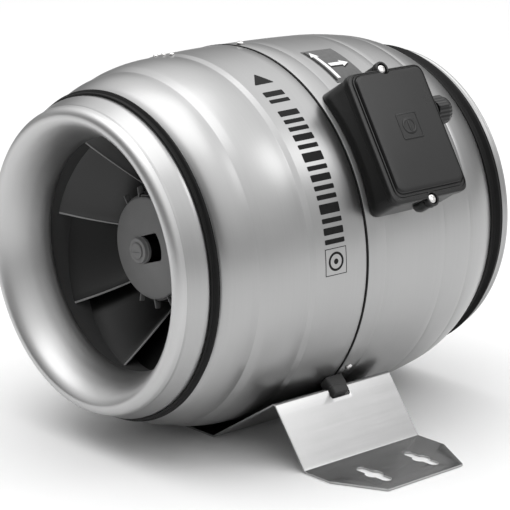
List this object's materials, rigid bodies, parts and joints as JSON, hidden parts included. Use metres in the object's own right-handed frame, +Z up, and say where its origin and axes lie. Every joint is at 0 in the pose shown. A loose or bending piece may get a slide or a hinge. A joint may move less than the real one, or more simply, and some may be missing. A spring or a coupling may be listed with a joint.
{
  "type": "inline duct fan",
  "caption": "Mixed-flow inline fan for round duct: pressed metal casing in halves, rolled inlet lip, rubber lip seals, side terminal box, and a bent sheet foot bracket.",
  "frame": {"origin": "on the plane that the feet rest on, straight below the duct axis at the joint between the casing halves", "axes": "+Z up; the duct axis runs along Y with the inlet at -Y and the outlet at +Y; the terminal box is on the +X side"},
  "size_m": [0.524, 0.4078, 0.3607],
  "materials": {
    "casing_metal": "satin, brushed around the casing",
    "lip_metal": "satin, pressed and rolled",
    "bracket_metal": "bright zinc-plated sheet",
    "rubber": "matt black",
    "box_plastic": "fine moulded texture, dark grey",
    "fan_plastic": "moulded, dark grey",
    "hub_plastic": "moulded, mid grey",
    "screw_steel": "plated, bright",
    "motor_steel": "machined",
    "copper": "lacquered copper",
    "white_plastic": "smooth, off-white"
  },
  "bodies": {
    "casing": {"inlet_nozzle": "lip_metal", "inlet_casing": "casing_metal", "outlet_casing": "casing_metal", "casing_gasket": "rubber", "inlet_seal": "rubber", "outlet_seal": "rubber", "joint_screw_top": "screw_steel", "casing_rivet_1": "screw_steel", "casing_rivet_2": "screw_steel", "casing_rivet_3": "screw_steel", "mount_lug_right": "box_plastic", "mount_lug_left": "box_plastic", "lug_screw_right": "screw_steel", "lug_screw_left": "screw_steel", "support_bracket": "bracket_metal", "terminal_box_base": "box_plastic", "terminal_box_cover": "box_plastic", "cover_gasket": "rubber", "cover_screw_upper": "screw_steel", "cover_screw_lower": "screw_steel", "cable_gland_body": "box_plastic", "cable_gland_nut": "box_plastic", "cable_gland_seal": "rubber", "terminal_block": "white_plastic", "run_capacitor": "white_plastic", "box_screw_1": "screw_steel", "box_screw_2": "screw_steel", "lead_grommet": "rubber", "motor_lead": "rubber", "stator_stack": "motor_steel", "stator_winding_front": "copper", "stator_winding_rear": "copper", "bearing_front": "screw_steel", "bearing_rear": "screw_steel", "motor_flange": "motor_steel", "flange_screw_1": "screw_steel", "flange_screw_2": "screw_steel", "flange_screw_3": "screw_steel", "diffuser_hub": "casing_metal", "guide_vane_1": "casing_metal", "guide_vane_2": "casing_metal", "guide_vane_3": "casing_metal", "guide_vane_4": "casing_metal", "guide_vane_5": "casing_metal", "guide_vane_6": "casing_metal"},
    "impeller": {"impeller_hub": "fan_plastic", "impeller_shroud": "fan_plastic", "hub_disc": "hub_plastic", "hub_screw": "motor_steel", "rotor_cup": "motor_steel", "rotor_cage": "copper", "motor_shaft": "motor_steel", "impeller_blade_1": "fan_plastic", "impeller_blade_2": "fan_plastic", "impeller_blade_3": "fan_plastic", "impeller_blade_4": "fan_plastic", "impeller_blade_5": "fan_plastic", "impeller_blade_6": "fan_plastic", "impeller_blade_7": "fan_plastic", "impeller_blade_8": "fan_plastic"}
  },
  "joints": [
    {"name": "impeller_spin", "type": "hinge", "parent": "casing", "child": "impeller", "pos_m": [0, 0, 0.1795], "axis": [0, -1, 0], "continuous": true}
  ]
}
